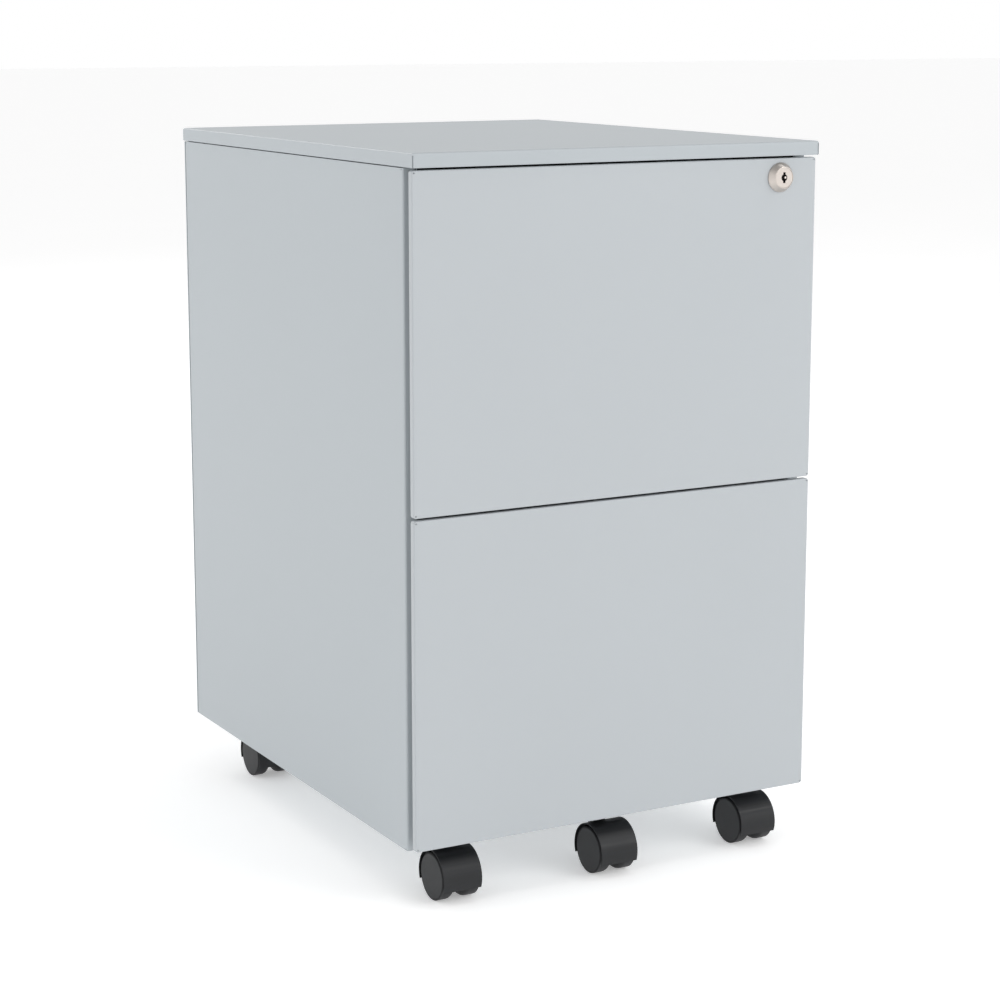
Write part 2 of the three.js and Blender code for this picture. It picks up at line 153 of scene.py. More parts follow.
def powder_coat(name, colour, roughness):
    """Satin powder coat: fine orange peel, a trace of cloudiness and a slightly uneven gloss."""
    finish = Finish(name)
    place = finish.place()
    cloud = finish.noise(place, 7.0, 1.0)
    peel = finish.noise(place, 620.0, 1.0)
    grit = finish.noise(place, 2400.0, 1.0)
    finish.use(
        base_color=finish.tint(colour, 0.985 + cloud * 0.03 + (grit - 0.5) * 0.02),
        roughness=roughness + (cloud - 0.5) * 0.06 + (peel - 0.5) * 0.08,
        normal=finish.bump(peel * 0.7 + grit * 0.3, 0.02 * MM, 0.35),
    )
    return finish


def zinc_plate(name):
    """Bright zinc on rolled steel: faint rolling lines along the length and a mottled gloss."""
    finish = Finish(name, {"Metallic": 1.0})
    place = finish.place()
    mottle = finish.noise(place, 90.0, 3.0)
    lines = finish.noise(finish.stretched(place, 1.0, 0.02, 1.0), 1800.0, 2.0)
    finish.use(
        base_color=finish.tint((0.62, 0.64, 0.66), 0.86 + mottle * 0.2 + lines * 0.08),
        roughness=0.26 + mottle * 0.16 + lines * 0.08,
        normal=finish.bump(lines, 0.01 * MM, 0.4),
    )
    return finish


def turned_nickel(name, centre):
    """Satin nickel, turned in fine rings round the lock's axis."""
    finish = Finish(name, {"Metallic": 1.0})
    place = finish.place()
    x, _, z = finish.split(place)
    aside, above = x - centre.x, z - centre.z
    radius = (aside ** 2.0 + above ** 2.0) ** 0.5
    rings = finish.node("ShaderNodeTexNoise", {"noise_dimensions": "1D"}, {"W": radius, "Scale": 9000.0})
    mottle = finish.noise(place, 500.0, 2.0)
    finish.use(
        base_color=finish.tint((0.64, 0.585, 0.54), 0.9 + rings * 0.12 + mottle * 0.06),
        roughness=0.25 + rings * 0.12 + mottle * 0.06,
        normal=finish.bump(rings, 0.02 * MM, 0.3),
    )
    return finish


def moulded_plastic(name, colour, roughness, *, texture, gloss=0.5, streak_strength=0.0):
    """Injection-moulded plastic: a fine spark-eroded texture, and faint streaks along X in its colour, gloss
    and bump.
    """
    finish = Finish(name, {"Specular IOR Level": gloss})
    place = finish.place()
    spark = finish.noise(place, 1500.0, 2.0)
    flow = finish.noise(place, 60.0, 1.0)
    lines = finish.noise(finish.stretched(place, 0.01, 1.0, 1.0), 420.0, 1.0) - 0.5
    finish.use(
        base_color=finish.tint(colour, 0.9 + flow * 0.12 + spark * 0.08 + lines * streak_strength),
        roughness=roughness + (spark - 0.5) * 0.12 + (flow - 0.5) * 0.08 + lines * (0.3 * streak_strength),
        normal=finish.bump(spark + lines * (2.0 * streak_strength), texture * MM, 0.5),
    )
    return finish


lock_low, lock_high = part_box("lock_housing")
lock_centre = (lock_low + lock_high) / 2

CARCASS = powder_coat("carcass powder coat", (0.421, 0.455, 0.477), 0.48)
# The fronts' paint is the carcass's paint made a few percent lighter, for the fronts facing the lamps:
# painted light.
LIT_FRONT_COAT = powder_coat("front powder coat lightened as lit", (0.443, 0.471, 0.492), 0.46)
ZINC = zinc_plate("bright zinc")
NICKEL = turned_nickel("satin nickel", lock_centre)
# Near-black finish for the keyhole's walls and floor: painted shade inside the slot.
SHADED_KEYWAY = moulded_plastic("keyway painted shade", (0.012, 0.011, 0.011), 0.6, texture=0.01)
HOOD = moulded_plastic(
    "black hood plastic", (0.0085, 0.0093, 0.011), 0.5, texture=0.02, gloss=0.42, streak_strength=1.8
)
WHEEL = moulded_plastic("dark wheel plastic", (0.0145, 0.0152, 0.017), 0.5, texture=0.02, gloss=0.35)
# Near-black finish for the strip behind the gap under the top: painted shade, standing for the dark in that
# gap.
GAP_SHADE_BLACK = moulded_plastic("black strip painting gap shade", (0.006, 0.006, 0.006), 0.9, texture=0.05, gloss=0.1)


# ---------------------------------------------------------------- mesh tools
def add_piece(name, mesh, finish, body, replaces=(), edge=0.0, sharp=40):
    """Turns a bmesh into a piece that rides on a body. Edge is the width of its rounded edges."""
    bmesh.ops.recalc_face_normals(mesh, faces=mesh.faces)
    data = bpy.data.meshes.new(name)
    mesh.to_mesh(data)
    mesh.free()
    for polygon in data.polygons:
        polygon.use_smooth = True
    data.set_sharp_from_angle(angle=math.radians(sharp))
    data.materials.append(finish.material)
    piece = bpy.data.objects.new(name, data)
    bpy.context.scene.collection.objects.link(piece)
    if edge:
        round_edges(piece, edge)
    weigh_normals(piece)
    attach(piece, body)
    if replaces:
        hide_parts(*replaces)
    return piece


def round_edges(piece, width, segments=2):
    bevel = piece.modifiers.new("rounded edges", "BEVEL")
    bevel.width = width
    bevel.segments = segments
    bevel.limit_method = "ANGLE"
    bevel.angle_limit = math.radians(40)
    bevel.use_clamp_overlap = True
    bevel.harden_normals = False


def weigh_normals(piece):
    weighted = piece.modifiers.new("flat faces", "WEIGHTED_NORMAL")
    weighted.keep_sharp = True
    weighted.weight = 100


def dress_node(node, finish, edge=0.0):
    """Gives a carried-over solid its finish and rounded edges."""
    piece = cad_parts[node]
    piece.data.materials.clear()
    piece.data.materials.append(finish.material)
    if edge:
        round_edges(piece, edge)
        weigh_normals(piece)


def ring(mesh, points):
    return [mesh.verts.new(point) for point in points]


def bridge(mesh, first, second):
    count = len(first)
    for i in range(count):
        j = (i + 1) % count
        mesh.faces.new((first[i], first[j], second[j], second[i]))


def fill(mesh, outline, *holes):
    """Closes a ring with a flat face, round its holes if there are any."""
    if not holes:
        mesh.faces.new(outline)
        return
    edges = []
    for loop in (outline, *holes):
        for i, vertex in enumerate(loop):
            after = loop[(i + 1) % len(loop)]
            edge = mesh.edges.get((vertex, after)) or mesh.edges.new((vertex, after))
            edges.append(edge)
    bmesh.ops.triangle_fill(mesh, use_beauty=True, edges=edges)


def pierce(mesh, outlines, direction):
    """Cuts holes through one flat wall. Each outline lies in front of it, and is pushed through it."""
    direction = Vector(direction)
    tree = BVHTree.FromBMesh(mesh)
    mesh.faces.ensure_lookup_table()
    start = sum(outlines[0], Vector()) / len(outlines[0])
    walls = []
    for _ in range(2):
        hit, _, index, _ = tree.ray_cast(start, direction)
        walls.append((mesh.faces[index], hit))
        start = hit + direction * 0.01 * MM
    rims = []
    for face, hit in walls:
        border = list(face.verts)
        mesh.faces.remove(face)
        rims.append([])
        for outline in outlines:
            rims[-1].append(ring(mesh, [p + direction * (hit - p).dot(direction) for p in outline]))
        fill(mesh, border, *rims[-1])
    for near, far in zip(*rims):
        bridge(mesh, near, far)


def arc(centre_u, centre_v, radius, start, end, steps):
    points = []
    for i in range(steps + 1):
        angle = math.radians(start + (end - start) * i / steps)
        points.append((centre_u + radius * math.cos(angle), centre_v + radius * math.sin(angle)))
    return points


def circle(u, v, radius, steps=24):
    return arc(u, v, radius, 0, 360 - 360 / steps, steps - 1)


def rounded_rectangle(u0, u1, v0, v1, radius, steps=5):
    points = []
    for u, v, start in (
        (u1 - radius, v0 + radius, -90),
        (u1 - radius, v1 - radius, 0),
        (u0 + radius, v1 - radius, 90),
        (u0 + radius, v0 + radius, 180),
    ):
        points += arc(u, v, radius, start, start + 90, steps)
    return points


PLANES = {
    "up": lambda u, v, w: Vector((u, v, w)),       # outline in X and Y, pulled along Z
    "back": lambda u, v, w: Vector((u, w, v)),     # outline in X and Z, pulled along Y
    "across": lambda u, v, w: Vector((w, u, v)),   # outline in Y and Z, pulled along X
}


def laid_out(direction, points, w):
    return [PLANES[direction](u, v, w) for u, v in points]


def pulled(mesh, direction, points, start, end):
    """A solid bar: a flat outline pulled from one place to another."""
    near = ring(mesh, laid_out(direction, points, start))
    far = ring(mesh, laid_out(direction, points, end))
    bridge(mesh, near, far)
    fill(mesh, near)
    fill(mesh, far)


def folded_sheet(mesh, path, thickness, bend, direction, start, end, steps=4):
    """Sheet folded along a path, its outer face. Every fold turns right, and the metal is on the right."""
    place = PLANES[direction]
    outer, inner = [], []
    count = len(path)
    for i, point in enumerate(path):
        here = Vector(point)
        if i in (0, count - 1):
            along = Vector(path[1]) - here if i == 0 else here - Vector(path[-2])
            along.normalize()
            right = Vector((along.y, -along.x))
            outer.append(here)
            inner.append(here + right * thickness)
            continue
        before = (here - Vector(path[i - 1])).normalized()
        after = (Vector(path[i + 1]) - here).normalized()
        turn = before.angle(after)
        reach = bend * math.tan(turn / 2)
        first_right = Vector((before.y, -before.x))
        centre = here - before * reach + first_right * bend
        for step in range(steps + 1):
            angle = -turn * step / steps
            spoke = -first_right
            turned = Vector((
                spoke.x * math.cos(angle) - spoke.y * math.sin(angle),
                spoke.x * math.sin(angle) + spoke.y * math.cos(angle),
            ))
            outer.append(centre + turned * bend)
            inner.append(centre + turned * (bend - thickness))
    outline = outer + inner[::-1]
    near = ring(mesh, [place(p.x, p.y, start) for p in outline])
    far = ring(mesh, [place(p.x, p.y, end) for p in outline])
    bridge(mesh, near, far)
    length = len(outer)
    total = len(outline)
    for loop in (near, far):
        for i in range(length - 1):
            mesh.faces.new((loop[i], loop[i + 1], loop[total - 2 - i], loop[total - 1 - i]))


def turned(mesh, profile, centre, axis, steps=48):
    """A body turned round an axis through centre: profile holds (radius, distance along the axis)."""
    loops = []
    for radius, along in profile:
        points = []
        for i in range(steps if radius > 1e-9 else 1):
            angle = math.tau * i / steps
            u = radius * math.cos(angle)
            v = radius * math.sin(angle)
            offset = {"x": (along, u, v), "y": (u, along, v), "z": (u, v, along)}[axis]
            points.append(centre + Vector(offset))
        loops.append(ring(mesh, points))
    for first, second in zip(loops, loops[1:]):
        if len(first) > 1 and len(second) > 1:
            bridge(mesh, first, second)
            continue
        pole, rim = (first[0], second) if len(first) == 1 else (second[0], first)
        for i in range(steps):
            mesh.faces.new((pole, rim[i], rim[(i + 1) % steps]))
    if len(loops[0]) > 1 and profile[0] == profile[-1]:
        bmesh.ops.remove_doubles(mesh, verts=loops[0] + loops[-1], dist=1e-7)


SHEET = 1.2 * MM
BEND = 1.8 * MM
RELIEF = 0.6 * MM        # radius of the small holes where two folds meet
DEBURRED = 0.25 * MM     # rounding of a cut sheet's edges


# ---------------------------------------------------------------- top
def top_ring(box, inset, z, slit):
    """The top's outline at one height. The skirts meet at a slit beside each corner."""
    low, high = box
    lip = 0.35 * MM
    gap = 0.8 * MM
    depth = slit if slit else 0.0
    nudge = 0.0 if slit else 0.01 * MM
    soft = 0.3 * MM

    def corner(x, y, sign_x, sign_y):
        return [
            (x, y - sign_y * soft),
            (x - sign_x * soft * 0.3, y - sign_y * soft * 0.3),
            (x - sign_x * lip, y),
            (x - sign_x * (lip + nudge), y - sign_y * depth),
            (x - sign_x * (lip + gap - nudge), y - sign_y * depth),
            (x - sign_x * (lip + gap), y),
        ]

    x0, x1 = low.x + inset, high.x - inset
    y0, y1 = low.y + inset, high.y - inset
    points = corner(x0, y0, -1, -1)
    points += corner(x1, y0, 1, -1)[::-1]
    points += corner(x1, y1, 1, 1)
    points += corner(x0, y1, -1, 1)[::-1]
    return [Vector((x, y, z)) for x, y in points]


def make_top():
    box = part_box("top_panel")
    low, high = box
    radius = 1.9 * MM
    mesh = bmesh.new()
    loops = []
    for inset, z in arc(radius, high.z - radius, radius, 90, 180, 5):
        loops.append(ring(mesh, top_ring(box, inset, z, 0)))
    straight = high.z - radius - 0.3 * MM
    loops.append(ring(mesh, top_ring(box, 0, straight, 0)))
    loops.append(ring(mesh, top_ring(box, 0, straight, 1.1 * MM)))
    loops.append(ring(mesh, top_ring(box, 0, low.z + 0.5 * MM, 1.1 * MM)))
    loops.append(ring(mesh, top_ring(box, 0.5 * MM, low.z, 1.1 * MM)))
    for inset, z in (
        (14 * MM, low.z),
        (14 * MM, low.z + SHEET),
        (2.6 * MM, low.z + SHEET),
        (2.6 * MM, high.z - SHEET),
    ):
        loops.append(ring(mesh, top_ring(box, inset, z, 0)))
    for first, second in zip(loops, loops[1:]):
        bridge(mesh, first, second)
    fill(mesh, loops[0])
    fill(mesh, loops[-1])
    add_piece("top_cover", mesh, CARCASS, "cabinet", ["top_panel"])


# ---------------------------------------------------------------- carcass
def make_side(side):
    node = f"{side}_side_panel"
    low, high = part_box(node)
    column = 21.5 * MM
    inner, outer = low.x, high.x
    path = [
        (inner, high.y - column),
        (inner, high.y),
        (outer, high.y),
        (outer, low.y),
        (inner, low.y),
        (inner, low.y + column),
    ]
    if side == "left":
        path = [(low.x + high.x - x, y) for x, y in path][::-1]
    mesh = bmesh.new()
    folded_sheet(mesh, path, SHEET, BEND, "up", low.z, high.z)
    clear, sign = (low.x - 5 * MM, 1) if side == "left" else (high.x + 5 * MM, -1)
    reliefs = []
    for y in (low.y + 2.5 * MM, high.y - 2.5 * MM):
        for z in (low.z + 1.1 * MM, high.z - 1.1 * MM):
            reliefs.append(laid_out("across", circle(y, z, RELIEF, 12), clear))
    pierce(mesh, reliefs, (sign, 0, 0))
    add_piece(f"{side}_side", mesh, CARCASS, "cabinet", [node], edge=DEBURRED)


def make_top_rail():
    low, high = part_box("front_top_rail")
    path = [(low.y, low.z), (low.y, high.z), (high.y, high.z), (high.y, high.z - 6 * MM)]
    mesh = bmesh.new()
    folded_sheet(mesh, path, SHEET, BEND, "across", low.x, high.x)
    add_piece("top_rail", mesh, CARCASS, "cabinet", ["front_top_rail"], edge=DEBURRED)
    # A near-black strip on the rail's front lip, seen through the gap under the top: painted shade for the
    # dark in that gap.
    mesh = bmesh.new()
    front, back = low.y - 0.65 * MM, low.y - 0.02 * MM
    strip = rounded_rectangle(front, back, low.z + 0.2 * MM, high.z - 0.2 * MM, 0.25 * MM, 3)
    pulled(mesh, "across", strip, low.x + 0.5 * MM, high.x - 0.5 * MM)
    add_piece("top_rail_shade_strip", mesh, GAP_SHADE_BLACK, "cabinet")


def rivet_row(mesh, centres, axis, direction, radius=2.6 * MM):
    """Domed rivet heads, sunk a little into the sheet that they hold."""
    rise = radius * 0.42
    sunk, brim = 0.3 * MM, 0.12 * MM
    for centre in centres:
        profile = [(0.0, -sunk * direction), (radius, -sunk * direction), (radius, brim * direction)]
        for share in (0.9, 0.7, 0.4):
            height = rise * math.sqrt(1 - share ** 2) + brim
            profile.append((radius * share, height * direction))
        profile.append((0.0, (rise + brim) * direction))
        turned(mesh, profile, centre, axis, 20)


def make_back_rivets():
    low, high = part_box("back_panel")
    inset = 6 * MM
    centres = []
    for x in (low.x + inset, high.x - inset):
        for i in range(5):
            z = low.z + 24 * MM + (high.z - low.z - 48 * MM) * i / 4
            centres.append(Vector((x, high.y, z)))
    mesh = bmesh.new()
    rivet_row(mesh, centres, "y", 1)
    add_piece("back_rivets", mesh, ZINC, "cabinet")


# ---------------------------------------------------------------- drawers
def pan(mesh, box, profile, corner, holes):
    """A folded pan: profile holds (inset, depth) from one flat face round to the other."""
    low, high = box
    loops = []
    for inset, depth in profile:
        radius = max(corner - inset, 0.15 * MM)
        outline = rounded_rectangle(low.x + inset, high.x - inset, low.z + inset, high.z - inset, radius)
        loops.append(ring(mesh, laid_out("back", outline, low.y + depth)))
    for first, second in zip(loops, loops[1:]):
        bridge(mesh, first, second)
    fill(mesh, loops[0])
    fill(mesh, loops[-1])
    if holes:
        pierce(mesh, [laid_out("back", hole, low.y - 5 * MM) for hole in holes], (0, 1, 0))


def make_drawer_front(drawer, holes):
    node = f"{drawer}_front"
    low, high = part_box(node)
    depth = high.y - low.y
    edge = 1.1 * MM
    rear = 0.9 * MM
    inner = edge + 0.5 * MM
    profile = arc(edge, edge, edge, 270, 180, 5)
    profile += arc(rear, depth - rear, rear, 180, 90, 3)
    profile += [
        (12 * MM, depth),
        (12 * MM, depth - SHEET),
        (inner, depth - SHEET),
        (SHEET, depth - inner),
        (SHEET, inner),
        (inner, SHEET),
    ]
    reliefs = []
    for x in (low.x + 2.0 * MM, high.x - 2.0 * MM):
        for z in (low.z + 2.0 * MM, high.z - 2.0 * MM):
            reliefs.append(circle(x, z, RELIEF, 12))
    mesh = bmesh.new()
    pan(mesh, (low, high), profile, 2.4 * MM, holes + reliefs)
    # The front panel takes the lighter front paint: painted light.
    add_piece(f"{drawer}_front_panel", mesh, LIT_FRONT_COAT, drawer, [node])


def make_drawer_liner(drawer, holes):
    node = f"{drawer}_liner"
    low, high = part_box(node)
    depth = high.y - low.y
    bend = 1.5 * MM
    profile = arc(bend, depth - bend, bend, 90, 180, 4)
    profile += [(0.0, 0.0), (SHEET, 0.0)]
    profile += arc(bend, depth - bend, bend - SHEET, 180, 90, 3)
    mesh = bmesh.new()
    pan(mesh, (low, high), profile, 1.6 * MM, holes)
    add_piece(f"{drawer}_front_liner", mesh, CARCASS, drawer, [node])


def make_drawer_tray(drawer):
    node = f"{drawer}_tray"
    low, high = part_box(node)
    path = [(high.x, high.z), (high.x, low.z), (low.x, low.z), (low.x, high.z)]
    mesh = bmesh.new()
    folded_sheet(mesh, path, SHEET, BEND, "back", low.y, high.y)
    hem = 14 * MM
    for x, sign in ((low.x, 1), (high.x, -1)):
        inside = x + sign * (SHEET - 0.05 * MM)
        edge = inside + sign * 1.3 * MM
        u0, u1 = min(inside, edge), max(inside, edge)
        outline = rounded_rectangle(u0, u1, high.z - hem, high.z, 0.6 * MM, 3)
        pulled(mesh, "back", outline, low.y + 2 * MM, high.y - 2 * MM)
    add_piece(f"{drawer}_box", mesh, CARCASS, drawer, [node], edge=DEBURRED)


def make_slides(drawer):
    middles = f"{drawer}_slide_middles"
    metal = 1.3 * MM
    for side, sign in (("left", -1), ("right", 1)):
        members = (("outer", "cabinet", -1), ("middle", middles, -1), ("inner", drawer, 1))
        for member, body, opens_out in members:
            node = f"{drawer}_slide_{side}_{member}"
            low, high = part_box(node)
            web, opening = (high.x, low.x) if sign * opens_out < 0 else (low.x, high.x)
            if opening < web:
                path = [(opening, high.z), (web, high.z), (web, low.z), (opening, low.z)]
            else:
                path = [(opening, low.z), (web, low.z), (web, high.z), (opening, high.z)]
            mesh = bmesh.new()
            folded_sheet(mesh, path, metal, 2.4 * MM, "back", low.y, high.y)
            middle = (low.z + high.z) / 2
            holes = []
            for i in range(7):
                y = low.y + 22 * MM + (high.y - low.y - 44 * MM) * i / 6
                if i % 2:
                    low_edge, high_edge = middle - 3 * MM, middle + 3 * MM
                    holes.append(rounded_rectangle(y - 9 * MM, y + 9 * MM, low_edge, high_edge, 2.9 * MM))
                else:
                    holes.append(circle(y, middle, 2.3 * MM))
            clear = min(low.x, high.x) - 5 * MM
            pierce(mesh, [laid_out("across", hole, clear) for hole in holes], (1, 0, 0))
            add_piece(f"{drawer}_{side}_{member}_runner", mesh, ZINC, body, [node], edge=0.2 * MM)


# ---------------------------------------------------------------- lock
def make_lock():
    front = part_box("upper_drawer_front")[0].y
    face = lock_low.y
    rear = lock_high.y
    axis = Vector((lock_centre.x, 0, lock_centre.z))
    bore = 8.7 * MM
    base = (lock_high.x - lock_low.x) / 2
    rim = 9.1 * MM
    shank = 9.9 * MM
    profile = [(bore, rear), (shank, rear), (shank, front - 0.05 * MM), (base - 0.3 * MM, front - 0.05 * MM)]
    profile += [(base, front - 0.35 * MM), (base, front - 0.9 * MM), (base - 0.25 * MM, front - 1.3 * MM)]
    profile += [(rim + 0.2 * MM, face + 0.3 * MM), (rim, face + 0.06 * MM), (rim - 0.2 * MM, face)]
    profile += [(bore + 0.05 * MM, face), (bore, face + 0.05 * MM)]
    profile.append(profile[0])
    mesh = bmesh.new()
    turned(mesh, profile, axis, "y", 72)
    add_piece("lock_collar", mesh, NICKEL, "upper_drawer", ["lock_housing"], sharp=30)
    make_lock_plug(axis)


def make_lock_plug(axis):
    low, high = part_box("lock_plug")
    radius = (high.x - low.x) / 2
    face = low.y
    mesh = bmesh.new()
    rim = [(radius - 0.08 * MM, face), (radius, face + 0.08 * MM), (radius, high.y)]
    loops = []
    for r, y in rim:
        loops.append(ring(mesh, laid_out("back", circle(axis.x, axis.z, r, 64), y)))
    for first, second in zip(loops, loops[1:]):
        bridge(mesh, first, second)
    fill(mesh, loops[-1])
    keyhole = keyhole_outline(axis.x, axis.z)
    mouth = ring(mesh, laid_out("back", keyhole, face))
    floor = ring(mesh, laid_out("back", keyhole, face + 4 * MM))
    fill(mesh, loops[0], mouth)
    bridge(mesh, mouth, floor)
    fill(mesh, floor)
    plug = add_piece("lock_barrel", mesh, NICKEL, "lock_plug", ["lock_plug"], sharp=30)
    # The keyhole's walls and floor take the near-black finish: painted shade inside the slot.
    plug.data.materials.append(SHADED_KEYWAY.material)
    keyway = 5.5 * MM
    for polygon in plug.data.polygons:
        centre = polygon.center
        away = math.hypot(centre.x - axis.x, centre.z - axis.z)
        if away < keyway and face + 0.5 * MM < centre.y < face + 5 * MM:
            polygon.material_index = 1
    mesh = bmesh.new()
    post = Vector((axis.x + 1.6 * MM, 0, axis.z))
    profile = [(0.0, face + 0.2 * MM), (0.8 * MM, face + 0.25 * MM), (1.15 * MM, face + 0.5 * MM)]
    profile += [(1.3 * MM, face + 0.9 * MM), (1.3 * MM, face + 4.2 * MM), (0.0, face + 4.2 * MM)]
    turned(mesh, profile, post, "y", 32)
    add_piece("lock_key_post", mesh, NICKEL, "lock_plug")


def keyhole_outline(x, z):
    """A square-ended slot with a round middle."""
    half, reach, middle, soft = 1.2 * MM, 4.6 * MM, 3.0 * MM, 0.3 * MM
    join = math.degrees(math.asin(half / middle))
    side, end = half - soft, reach - soft
    points = arc(x, z, middle, -90 + join, 90 - join, 14)
    points += arc(x + side, z + end, soft, 0, 90, 3) + arc(x - side, z + end, soft, 90, 180, 3)
    points += arc(x, z, middle, 90 + join, 270 - join, 14)
    points += arc(x - side, z - end, soft, 180, 270, 3) + arc(x + side, z - end, soft, 270, 360, 3)
    return points


# ---------------------------------------------------------------- casters
def make_caster(name, plate_body):
    swivel = f"{name}_swivel"
    wheel_low, wheel_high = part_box(f"{name}_wheel_left")
    hood_low, hood_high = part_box(f"{name}_hood")
    plate_low, plate_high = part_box(f"{name}_plate")
    tread = (wheel_high.z - wheel_low.z) / 2
    axle = Vector(((hood_low.x + hood_high.x) / 2, (wheel_low.y + wheel_high.y) / 2, wheel_low.z + tread))
    stem = Vector(((plate_low.x + plate_high.x) / 2, (plate_low.y + plate_high.y) / 2, 0))
    half = (hood_high.x - hood_low.x) / 2
    outer = axle.y - hood_low.y
    make_hood(name, swivel, axle, stem, half, outer, hood_low.z, hood_high.z)
    for side, sign in (("left", -1), ("right", 1)):
        make_wheel(name, side, sign, axle, tread, half)
    mesh = bmesh.new()
    rivets = []
    for x in (plate_low.x + 5 * MM, plate_high.x - 5 * MM):
        for y in (plate_low.y + 5 * MM, plate_high.y - 5 * MM):
            rivets.append(Vector((x, y, plate_high.z - 2.5 * MM)))
    rivet_row(mesh, rivets, "z", -1, 2.2 * MM)
    add_piece(f"{name}_plate_rivets", mesh, ZINC, plate_body)
    dress_node(f"{name}_plate", ZINC, 0.3 * MM)
    dress_node(f"{name}_axle", ZINC)


def make_hood(name, body, axle, stem, half, outer, skirt, boss_top):
    thickness = 1.9 * MM
    inner = outer - thickness
    mesh = bmesh.new()
    edge = 0.3 * MM
    lip = 0.75 * MM
    right = arc(half - edge, outer - edge, edge, 90, 0, 3)
    right += [(half, outer - lip), (half - 3.2 * MM, outer - lip - 0.1 * MM), (half - 4.2 * MM, inner)]
    section = right + [(-x, radius) for x, radius in right[::-1]]
    drop = math.degrees(math.asin((axle.z - skirt) / outer))
    steps = 60
    loops = []
    for i in range(steps + 1):
        angle = math.radians(-drop + (180 + 2 * drop) * i / steps)
        points = []
        for x, radius in section:
            points.append(axle + Vector((x, radius * math.cos(angle), radius * math.sin(angle))))
        loops.append(ring(mesh, points))
    for first, second in zip(loops, loops[1:]):
        bridge(mesh, first, second)
    fill(mesh, loops[0])
    fill(mesh, loops[-1])

    web = 3.25 * MM
    rim = inner + 0.4 * MM
    lower = math.degrees(math.asin((axle.z - 14 * MM) / rim))
    outline = arc(axle.y, axle.z, rim, -lower, 180 + lower, 48)
    near = ring(mesh, [Vector((axle.x - web, y, z)) for y, z in outline])
    far = ring(mesh, [Vector((axle.x + web, y, z)) for y, z in outline])
    bridge(mesh, near, far)
    fill(mesh, near)
    fill(mesh, far)
    boss, bore, wall = 4.1 * MM, 2.1 * MM, 4.2 * MM
    turned(mesh, [(bore, -boss), (wall, -boss), (wall, boss), (bore, boss), (bore, -boss)], axle, "x", 32)

    radius, bore, count = 7.5 * MM, 4.1 * MM, 40
    saddle, top, mouth, floor = [], [], [], []
    for i in range(count):
        angle = math.tau * i / count
        x, y = math.cos(angle), math.sin(angle)
        away = stem.y + radius * y - axle.y
        follow = math.sqrt(max((inner + 0.7 * MM) ** 2 - away ** 2, 0.0))
        saddle.append(Vector((stem.x + radius * x, stem.y + radius * y, axle.z + follow)))
        top.append(Vector((stem.x + radius * x, stem.y + radius * y, boss_top)))
        mouth.append(Vector((stem.x + bore * x, stem.y + bore * y, boss_top)))
        floor.append(Vector((stem.x + bore * x, stem.y + bore * y, boss_top - 6.4 * MM)))
    loops = [ring(mesh, points) for points in (saddle, top, mouth, floor)]
    for first, second in zip(loops, loops[1:]):
        bridge(mesh, first, second)
    fill(mesh, loops[-1])
    middle = mesh.verts.new(Vector((stem.x, stem.y, boss_top - 6.6 * MM)))
    for i in range(count):
        mesh.faces.new((middle, loops[0][i], loops[0][(i + 1) % count]))
    add_piece(f"{name}_cover", mesh, HOOD, body, [f"{name}_hood"])


def make_wheel(name, side, sign, axle, tread, half):
    inner, outer = 4.4 * MM, half
    bevel, shoulder, face = 0.45 * MM, 5 * MM, outer - 0.1 * MM
    hollow, rim = 8 * MM, 14.8 * MM
    profile = [(0.0, outer - 6.7 * MM), (2.1 * MM, outer - 6.7 * MM), (2.1 * MM, inner), (4.6 * MM, inner)]
    profile += [(4.9 * MM, inner + 0.3 * MM), (5.1 * MM, inner + hollow), (rim - 0.4 * MM, inner + hollow)]
    profile += [(rim, inner + 0.4 * MM), (rim + 0.2 * MM, inner), (tread - shoulder, inner)]
    profile += [(r, x) for x, r in arc(inner + shoulder, tread - shoulder, shoulder, 180, 90, 8)][1:]
    profile += [(r, x) for x, r in arc(face - bevel - 0.2 * MM, tread - bevel, bevel, 90, 0, 4)]
    profile += [(tread - 0.45 * MM, face - 1.8 * MM), (tread - 0.8 * MM, face - 1.8 * MM)]
    profile += [(tread - 0.85 * MM, face - 0.4 * MM), (tread - 1.0 * MM, face - 0.15 * MM)]
    profile += [(tread - 1.3 * MM, face)]
    profile += [(0.0, face)]
    mesh = bmesh.new()
    turned(mesh, [(radius, sign * along) for radius, along in profile], axle, "x", 72)
    piece = f"{name}_{side}_wheel"
    disc = add_piece(f"{piece}_disc", mesh, WHEEL, piece, [f"{name}_wheel_{side}"], sharp=32)
    # The wheel's inner face, toward the other wheel, takes the black hood plastic: painted shade for the
    # dark between the wheels.
    disc.data.materials.append(HOOD.material)
    for polygon in disc.data.polygons:
        if sign * (polygon.center.x - axle.x) < inner + 1.6 * MM:
            polygon.material_index = 1


def make_bracket():
    low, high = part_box("anti_tilt_bracket")
    path = [(high.x, high.z), (high.x, low.z), (low.x, low.z), (low.x, high.z)]
    mesh = bmesh.new()
    folded_sheet(mesh, path, 2 * MM, 2.8 * MM, "back", low.y, high.y)
    replaced = ["anti_tilt_bracket"]
    add_piece("caster_bracket", mesh, CARCASS, "lower_drawer", replaced, edge=0.3 * MM)


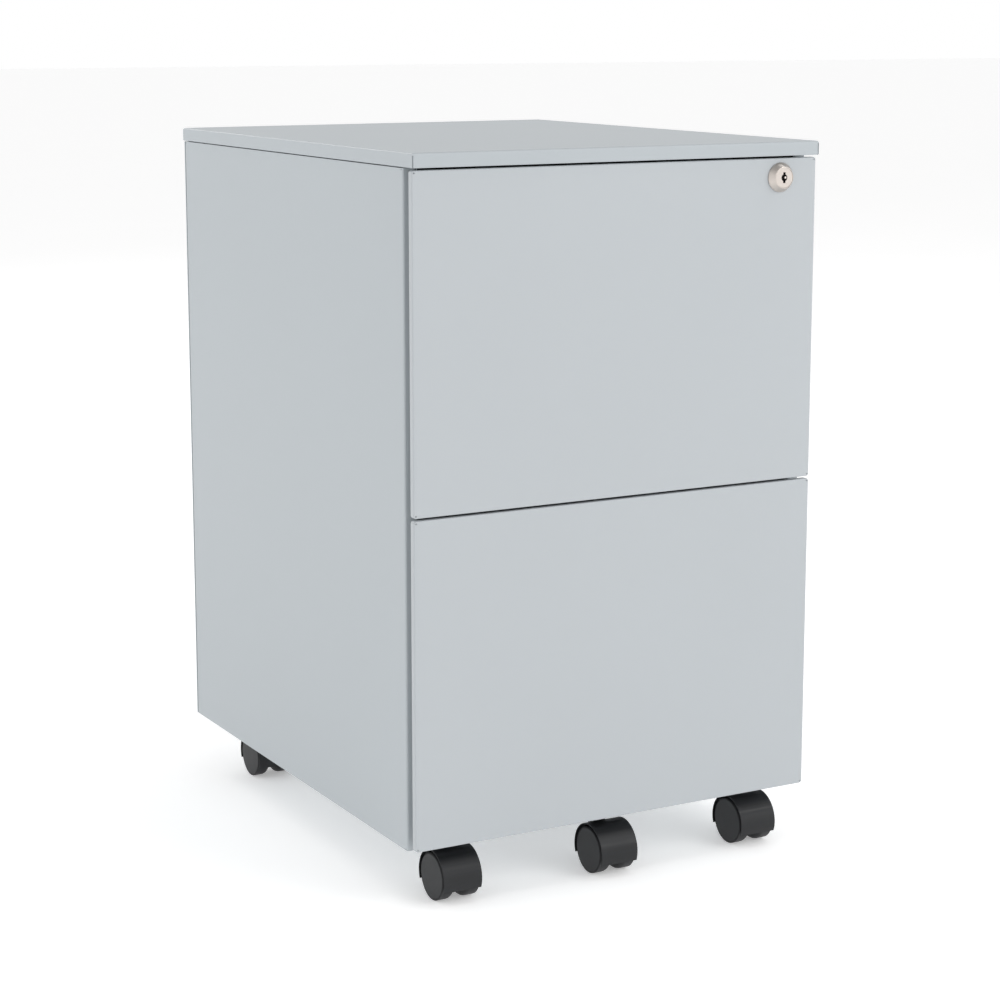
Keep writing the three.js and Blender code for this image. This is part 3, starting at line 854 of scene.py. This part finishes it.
# ---------------------------------------------------------------- assembly
make_top()
for side in ("left", "right"):
    make_side(side)
make_top_rail()
make_back_rivets()
dress_node("back_panel", CARCASS, 0.3 * MM)
dress_node("base_pan", CARCASS, 0.3 * MM)
lock_hole = circle(lock_centre.x, lock_centre.z, 10.2 * MM, 48)
for drawer, holes in (("upper_drawer", [lock_hole]), ("lower_drawer", [])):
    make_drawer_front(drawer, holes)
    make_drawer_liner(drawer, holes)
    make_drawer_tray(drawer)
    make_slides(drawer)
    dress_node(f"{drawer}_back", CARCASS, 0.3 * MM)
make_lock()
dress_node("lock_cam", ZINC, 0.2 * MM)
make_bracket()
for caster in ("front_left", "front_right", "rear_left", "rear_right"):
    make_caster(f"caster_{caster}", "cabinet")
make_caster("caster_anti_tilt", "lower_drawer")


# ---------------------------------------------------------------- studio
def add_sheet(name, corners, material):
    mesh = bmesh.new()
    fill(mesh, ring(mesh, corners))
    data = bpy.data.meshes.new(name)
    mesh.to_mesh(data)
    mesh.free()
    data.materials.append(material)
    sheet = bpy.data.objects.new(name, data)
    bpy.context.scene.collection.objects.link(sheet)
    return sheet


def make_floor():
    """A white floor that glows a little, as one lit from below does, so that shadows on it stay light."""
    constants = {"Roughness": 0.9, "Specular IOR Level": 0.1}
    constants |= {"Emission Color": (1, 1, 1), "Emission Strength": 0.31}
    finish = Finish("pale floor", constants)
    cloud = finish.noise(finish.place(), 3.0, 1.0)
    finish.use(base_color=finish.tint((0.94, 0.94, 0.94), 0.99 + cloud * 0.02))
    reach = 30.0
    corners = [(-reach, -reach, 0), (reach, -reach, 0), (reach, reach, 0), (-reach, reach, 0)]
    add_sheet("floor", corners, finish.material)


def add_softbox(name, place, target, size, power):
    light = bpy.data.lights.new(name, "AREA")
    light.shape = "RECTANGLE"
    light.size, light.size_y = size
    light.energy = power
    lamp = bpy.data.objects.new(name, light)
    bpy.context.scene.collection.objects.link(lamp)
    lamp.location = place
    lamp.rotation_euler = (Vector(target) - Vector(place)).to_track_quat("-Z", "Y").to_euler()


def light_studio():
    """White all round, a little darker overhead."""
    world = bpy.data.worlds.new("studio")
    bpy.context.scene.world = world
    sky = NodeWork(world)
    height = sky.split(sky.node("ShaderNodeTexCoord"))[2]
    colour = sky.blend((1.0, 1.0, 1.0), (0.45, 0.45, 0.45), height.smooth_step(0.25, 1.0))
    sky.put(sky.tree.nodes["Background"], {"Color": colour, "Strength": 1.0})
    add_softbox("key", (1.9, -2.9, 2.2), (0, 0, 0.5), (2.1, 2.1), 39)
    add_softbox("overhead", (1.45, -0.5, 3.2), (0, 0, 0.6), (1.0, 1.0), 12)
    add_softbox("left fill", (-3.1, 0.9, 1.0), (0, 0, 0.4), (1.5, 1.5), 11)
    add_softbox("rim", (-0.75, 3.7, 2.5), (0, 0, 0.6), (1.2, 1.2), 32)
    bpy.context.scene.view_settings.view_transform = "Standard"


def place_camera():
    data = bpy.data.cameras.new("camera")
    data.sensor_width = 36
    data.lens = 87.17
    data.shift_y = -0.05
    camera = bpy.data.objects.new("camera", data)
    bpy.context.scene.collection.objects.link(camera)
    camera.location = (-1.0491, -1.9365, 0.7330)
    camera.rotation_euler = (math.radians(90 - 10.218), 0, math.radians(-28.797))
    bpy.context.scene.camera = camera


make_floor()
light_studio()
place_camera()

bpy.context.view_layer.update()
